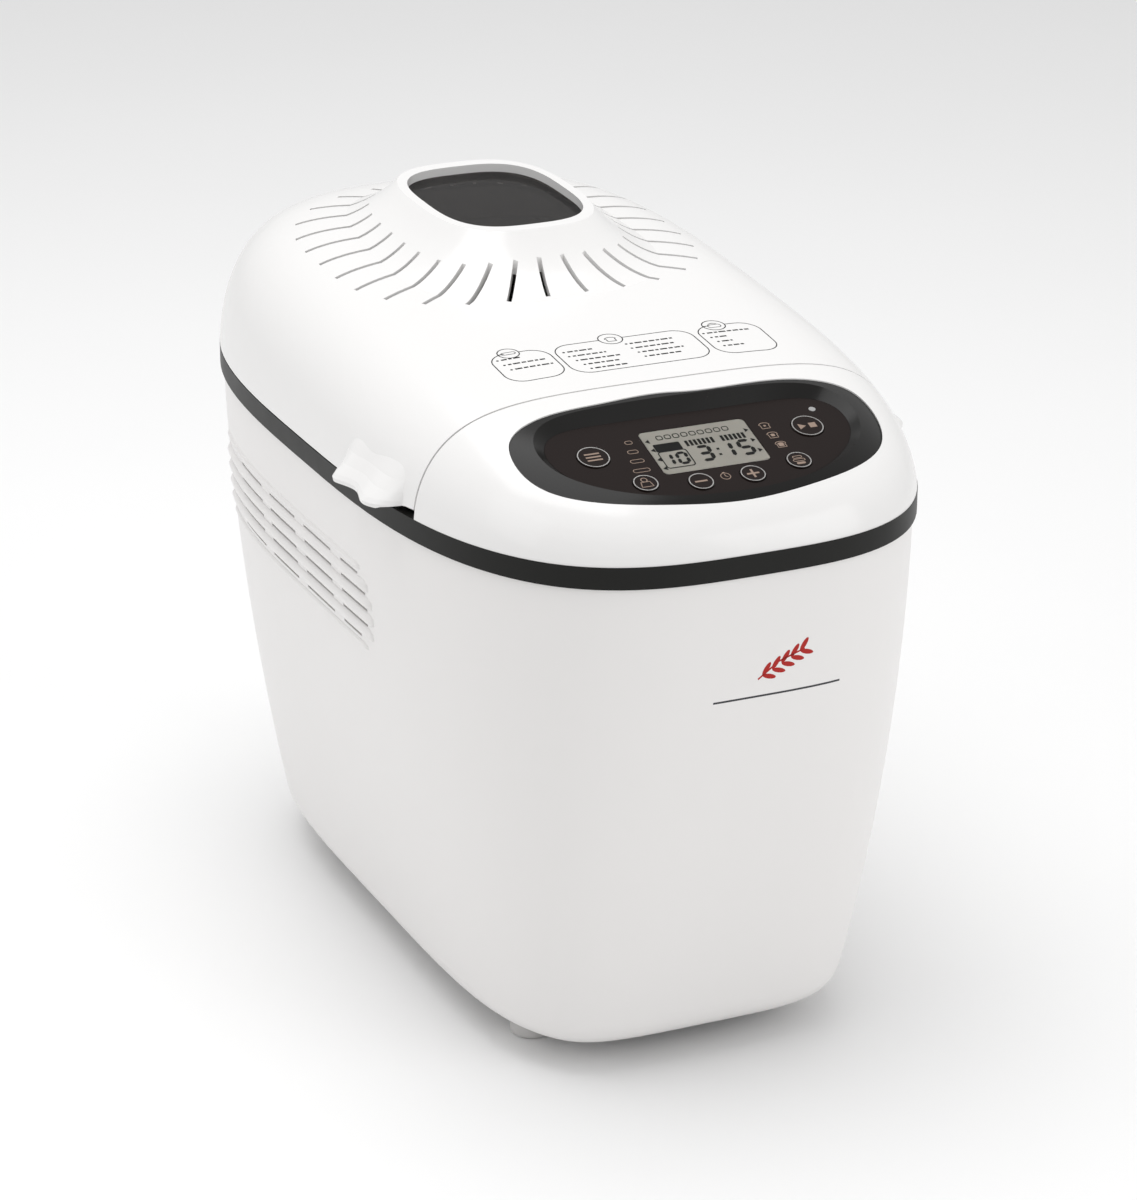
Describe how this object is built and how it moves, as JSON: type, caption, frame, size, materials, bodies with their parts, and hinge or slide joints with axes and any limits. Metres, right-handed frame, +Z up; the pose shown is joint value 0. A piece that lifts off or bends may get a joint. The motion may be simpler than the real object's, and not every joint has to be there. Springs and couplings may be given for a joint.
{
  "type": "bread machine",
  "caption": "Countertop bread machine: long oval casing, domed hinged lid with viewing window, sloping control panel, oven cavity with lift-out pan and kneading paddles.",
  "frame": {"origin": "on the floor under the middle of the casing", "axes": "+Z up, the control panel faces -Y, the lid hinge is at +Y, X is the width"},
  "size_m": [0.2584, 0.4204, 0.333],
  "materials": {
    "casing_white": "gloss",
    "lid_white": "gloss",
    "band_black": "satin",
    "foot_grey": "matte",
    "base_grey": "matte",
    "deck_grey": "matte",
    "bezel_black": "satin",
    "fascia_brown": "gloss",
    "lens_clear": "clear",
    "window_tint": "clear",
    "lcd_grey": "satin",
    "board_green": "matte",
    "part_black": "matte",
    "led_white": "gloss",
    "screw_steel": "satin",
    "sheet_steel": "brushed",
    "element_steel": "satin",
    "cast_alloy": "satin",
    "bronze": "satin",
    "pulley_white": "matte",
    "belt_rubber": "matte",
    "nonstick_grey": "satin",
    "seal_red": "matte",
    "gasket_grey": "matte",
    "wire_steel": "polished",
    "motor_steel": "satin"
  },
  "bodies": {
    "chassis": {"outer_housing": "casing_white", "base_plate": "base_grey", "feet": "foot_grey", "base_screws": "screw_steel", "rim_band": "band_black", "hinge_pins": "screw_steel", "inner_deck": "deck_grey", "control_deck": "lid_white", "panel_bezel": "bezel_black", "panel_overlay": "fascia_brown", "lcd_lens": "lens_clear", "lcd_module": "lcd_grey", "control_board": "board_green", "tact_switches": "part_black", "board_screws": "screw_steel", "status_led": "led_white", "oven_cavity": "sheet_steel", "heating_element": "element_steel", "element_clips": "sheet_steel", "temperature_probe": "screw_steel", "thermal_fuse": "part_black", "pan_sockets": "sheet_steel", "bearing_housings": "cast_alloy", "shaft_bushes": "bronze", "motor": "motor_steel", "motor_bracket": "sheet_steel", "motor_capacitor": "part_black", "power_board": "board_green", "cord_inlet": "part_black", "drive_belt": "belt_rubber", "link_belt": "belt_rubber"},
    "lid": {"lid_shell": "lid_white", "lid_liner": "sheet_steel", "lid_gasket": "gasket_grey", "lid_screws": "screw_steel", "window_glass": "window_tint", "liner_glass": "window_tint"},
    "pan": {"bread_pan": "nonstick_grey", "pan_feet": "cast_alloy", "pan_bearings": "cast_alloy", "pan_seals": "seal_red", "handle_lugs": "screw_steel"},
    "handle": {"pan_handle": "wire_steel", "handle_grip": "part_black"},
    "front_paddle": {"pan_spindle_front": "screw_steel", "paddle_front": "nonstick_grey"},
    "rear_paddle": {"pan_spindle_rear": "screw_steel", "paddle_rear": "nonstick_grey"},
    "front_drive": {"drive_shaft_front": "screw_steel", "drive_pulley": "pulley_white"},
    "rear_drive": {"drive_shaft_rear": "screw_steel", "link_sprocket": "pulley_white"},
    "motor_rotor": {"motor_shaft": "screw_steel", "motor_pulley": "cast_alloy"},
    "menu_key": {"menu_button": "fascia_brown"},
    "start_stop_key": {"start_stop_button": "fascia_brown"},
    "weight_key": {"weight_button": "fascia_brown"},
    "colour_key": {"colour_button": "fascia_brown"},
    "minus_key": {"minus_button": "fascia_brown"},
    "plus_key": {"plus_button": "fascia_brown"}
  },
  "joints": [
    {"name": "lid_hinge", "type": "hinge", "parent": "chassis", "child": "lid", "pos_m": [0, 0.2075, 0.2511], "axis": [-1, 0, 0], "range_deg": [0, 85]},
    {"name": "pan_lift", "type": "slide", "parent": "chassis", "child": "pan", "axis": [0, 0, 1], "range_m": [0, 0.024]},
    {"name": "handle_swing", "type": "hinge", "parent": "pan", "child": "handle", "pos_m": [0, 0.04, 0.2185], "axis": [0, -1, 0], "range_deg": [0, 180]},
    {"name": "front_drive_spin", "type": "hinge", "parent": "chassis", "child": "front_drive", "pos_m": [0, -0.02, 0.04], "axis": [0, 0, 1], "continuous": true},
    {"name": "rear_drive_spin", "type": "hinge", "parent": "chassis", "child": "rear_drive", "pos_m": [0, 0.1, 0.04], "axis": [0, 0, 1], "continuous": true},
    {"name": "motor_spin", "type": "hinge", "parent": "chassis", "child": "motor_rotor", "pos_m": [0, -0.135, 0.04], "axis": [0, 0, 1], "continuous": true},
    {"name": "front_paddle_spin", "type": "hinge", "parent": "pan", "child": "front_paddle", "pos_m": [0, -0.02, 0.1], "axis": [0, 0, 1], "continuous": true},
    {"name": "rear_paddle_spin", "type": "hinge", "parent": "pan", "child": "rear_paddle", "pos_m": [0, 0.1, 0.1], "axis": [0, 0, 1], "continuous": true},
    {"name": "menu_press", "type": "slide", "parent": "chassis", "child": "menu_key", "axis": [0, 0.304, -0.9527], "range_m": [0, 0.0008], "stiffness_N_per_m": 400, "springref_m": -0.001},
    {"name": "start_stop_press", "type": "slide", "parent": "chassis", "child": "start_stop_key", "axis": [0, 0.304, -0.9527], "range_m": [0, 0.0008], "stiffness_N_per_m": 400, "springref_m": -0.001},
    {"name": "weight_press", "type": "slide", "parent": "chassis", "child": "weight_key", "axis": [0, 0.304, -0.9527], "range_m": [0, 0.0008], "stiffness_N_per_m": 400, "springref_m": -0.001},
    {"name": "colour_press", "type": "slide", "parent": "chassis", "child": "colour_key", "axis": [0, 0.304, -0.9527], "range_m": [0, 0.0008], "stiffness_N_per_m": 400, "springref_m": -0.001},
    {"name": "minus_press", "type": "slide", "parent": "chassis", "child": "minus_key", "axis": [0, 0.304, -0.9527], "range_m": [0, 0.0008], "stiffness_N_per_m": 400, "springref_m": -0.001},
    {"name": "plus_press", "type": "slide", "parent": "chassis", "child": "plus_key", "axis": [0, 0.304, -0.9527], "range_m": [0, 0.0008], "stiffness_N_per_m": 400, "springref_m": -0.001}
  ],
  "couplings": [
    {"joint": "rear_drive_spin", "follows": "front_drive_spin", "ratio": 1},
    {"joint": "motor_spin", "follows": "front_drive_spin", "ratio": 5.5},
    {"joint": "front_paddle_spin", "follows": "front_drive_spin", "ratio": 1},
    {"joint": "rear_paddle_spin", "follows": "front_drive_spin", "ratio": 1}
  ]
}
